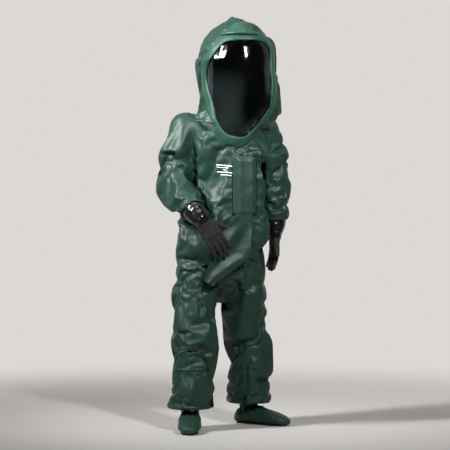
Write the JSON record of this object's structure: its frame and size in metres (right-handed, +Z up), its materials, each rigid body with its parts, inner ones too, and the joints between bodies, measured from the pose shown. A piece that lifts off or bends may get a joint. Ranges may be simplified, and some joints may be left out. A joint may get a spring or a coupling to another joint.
{
  "type": "chemical protective suit",
  "caption": "Fully encapsulating chemical protective suit with wrap-round visor hood, storm-flapped front closure, attached gloves, splash guards and sock booties, in its worn shape.",
  "frame": {"origin": "on the floor, under the middle of the suit's outer box", "axes": "+Z up, the suit faces -Y, the wearer's left side is +X"},
  "size_m": [0.6586, 0.4832, 1.85],
  "materials": {
    "suit_fabric": "coated, semi-matt",
    "suit_binding": "coated tape, semi-matt",
    "clear_film": "clear, glossy",
    "pale_tape": "matt",
    "black_webbing": "woven",
    "black_plastic": "moulded, fine grain",
    "zipper_metal": "tumbled",
    "black_rubber": "matt",
    "glossy_glove": "glossy",
    "matte_glove": "matt, grained"
  },
  "bodies": {
    "torso": {"front_panel_right": "suit_fabric", "front_panel_left": "suit_fabric", "back_panel": "suit_fabric", "front_gusset": "suit_fabric", "yoke_panel": "suit_fabric", "hood_shell": "suit_fabric", "visor": "clear_film", "visor_binding": "suit_binding", "visor_inner_tape": "pale_tape", "hood_brim": "suit_binding", "zipper_tape_right": "black_webbing", "zipper_tape_left": "black_webbing", "zipper_teeth": "black_plastic", "zipper_stops": "black_plastic", "inner_splash_flap": "suit_fabric", "flap_loop_strip": "black_webbing", "flap_loop_backing": "suit_fabric", "storm_flap_tail": "suit_fabric", "chest_label": "pale_tape", "valve_body_right": "black_plastic", "valve_nut_right": "black_plastic", "valve_diaphragm_right": "black_rubber", "valve_cap_right": "black_plastic", "valve_body_left": "black_plastic", "valve_nut_left": "black_plastic", "valve_diaphragm_left": "black_rubber", "valve_cap_left": "black_plastic"},
    "storm_flap": {"storm_flap": "suit_fabric", "flap_hook_strip": "black_webbing"},
    "zipper_slider": {"zipper_slider": "zipper_metal"},
    "upper_arm_right": {"upper_sleeve_right": "suit_fabric", "shoulder_gusset_right": "suit_fabric"},
    "forearm_right": {"lower_sleeve_right": "suit_fabric", "elbow_gusset_right": "suit_fabric", "gauntlet_right": "glossy_glove", "glove_ring_right": "black_plastic"},
    "hand_right": {"glove_hand_right": "matte_glove"},
    "thigh_right": {"thigh_right": "suit_fabric", "hip_gusset_right": "suit_fabric"},
    "shin_right": {"shin_right": "suit_fabric", "knee_gusset_right": "suit_fabric", "splash_guard_right": "suit_fabric"},
    "foot_right": {"bootie_right": "suit_fabric", "sole_patch_right": "suit_fabric"},
    "valve_cover_right": {"valve_cover_right": "suit_fabric"},
    "upper_arm_left": {"upper_sleeve_left": "suit_fabric", "shoulder_gusset_left": "suit_fabric"},
    "forearm_left": {"lower_sleeve_left": "suit_fabric", "elbow_gusset_left": "suit_fabric", "gauntlet_left": "glossy_glove", "glove_ring_left": "black_plastic"},
    "hand_left": {"glove_hand_left": "matte_glove"},
    "thigh_left": {"thigh_left": "suit_fabric", "hip_gusset_left": "suit_fabric"},
    "shin_left": {"shin_left": "suit_fabric", "knee_gusset_left": "suit_fabric", "splash_guard_left": "suit_fabric"},
    "foot_left": {"bootie_left": "suit_fabric", "sole_patch_left": "suit_fabric"},
    "valve_cover_left": {"valve_cover_left": "suit_fabric"}
  },
  "joints": [
    {"name": "right_shoulder", "type": "hinge", "parent": "torso", "child": "upper_arm_right", "pos_m": [-0.17922, 0.07344, 1.36], "axis": [-1, 0, 0], "range_deg": [-5, 60], "deforming": ["shoulder_gusset_right"]},
    {"name": "right_elbow", "type": "hinge", "parent": "upper_arm_right", "child": "forearm_right", "pos_m": [-0.26422, 0.06844, 1.104], "axis": [-0.843, -0.4539, 0.2888], "range_deg": [-28, 14], "deforming": ["elbow_gusset_right"]},
    {"name": "right_wrist", "type": "hinge", "parent": "forearm_right", "child": "hand_right", "pos_m": [-0.19422, -0.16656, 0.939], "axis": [0.8083, 0, 0.5888], "range_deg": [-40, 10]},
    {"name": "right_hip", "type": "hinge", "parent": "torso", "child": "thigh_right", "pos_m": [-0.12622, 0.02844, 0.77], "axis": [-1, 0, 0], "range_deg": [-12, 40], "deforming": ["hip_gusset_right"]},
    {"name": "right_knee", "type": "hinge", "parent": "thigh_right", "child": "shin_right", "pos_m": [-0.16922, -0.00656, 0.5], "axis": [1, 0, 0], "range_deg": [-3, 65], "deforming": ["knee_gusset_right"]},
    {"name": "right_ankle", "type": "hinge", "parent": "shin_right", "child": "foot_right", "pos_m": [-0.19722, -0.03356, 0.09], "axis": [-0.9404, 0.3401, 0], "range_deg": [-8, 8]},
    {"name": "left_shoulder", "type": "hinge", "parent": "torso", "child": "upper_arm_left", "pos_m": [0.17578, 0.04344, 1.36], "axis": [-1, 0, 0], "range_deg": [-20, 60], "deforming": ["shoulder_gusset_left"]},
    {"name": "left_elbow", "type": "hinge", "parent": "upper_arm_left", "child": "forearm_left", "pos_m": [0.26078, 0.05344, 1.104], "axis": [-0.9491, 0.0123, -0.3147], "range_deg": [-5, 50], "deforming": ["elbow_gusset_left"]},
    {"name": "left_wrist", "type": "hinge", "parent": "forearm_left", "child": "hand_left", "pos_m": [0.22878, 0.01844, 0.868], "axis": [0, -0.9982, 0.0599], "range_deg": [-8, 40]},
    {"name": "left_hip", "type": "hinge", "parent": "torso", "child": "thigh_left", "pos_m": [0.06778, 0.04844, 0.77], "axis": [-1, 0, 0], "range_deg": [-12, 40], "deforming": ["hip_gusset_left"]},
    {"name": "left_knee", "type": "hinge", "parent": "thigh_left", "child": "shin_left", "pos_m": [0.11078, 0.08344, 0.5], "axis": [1, 0, 0], "range_deg": [-3, 65], "deforming": ["knee_gusset_left"]},
    {"name": "left_ankle", "type": "hinge", "parent": "shin_left", "child": "foot_left", "pos_m": [0.13878, 0.11044, 0.09], "axis": [-0.8, -0.6, 0], "range_deg": [-8, 8]},
    {"name": "storm_flap_hinge", "type": "hinge", "parent": "torso", "child": "storm_flap", "pos_m": [0.06678, -0.13076, 0.965], "axis": [0, 0, 1], "range_deg": [0, 140], "deforming": ["storm_flap_tail"]},
    {"name": "zipper_slide", "type": "slide", "parent": "torso", "child": "zipper_slider", "axis": [0, 0, 1], "range_m": [0, 0.238]},
    {"name": "right_valve_cover_hinge", "type": "hinge", "parent": "torso", "child": "valve_cover_right", "pos_m": [-0.08566, 0.21737, 1.212], "axis": [0.8543, 0.5197, 0], "range_deg": [0, 85]},
    {"name": "left_valve_cover_hinge", "type": "hinge", "parent": "torso", "child": "valve_cover_left", "pos_m": [0.07631, 0.21737, 1.212], "axis": [0.8543, -0.5197, 0], "range_deg": [0, 85]}
  ]
}
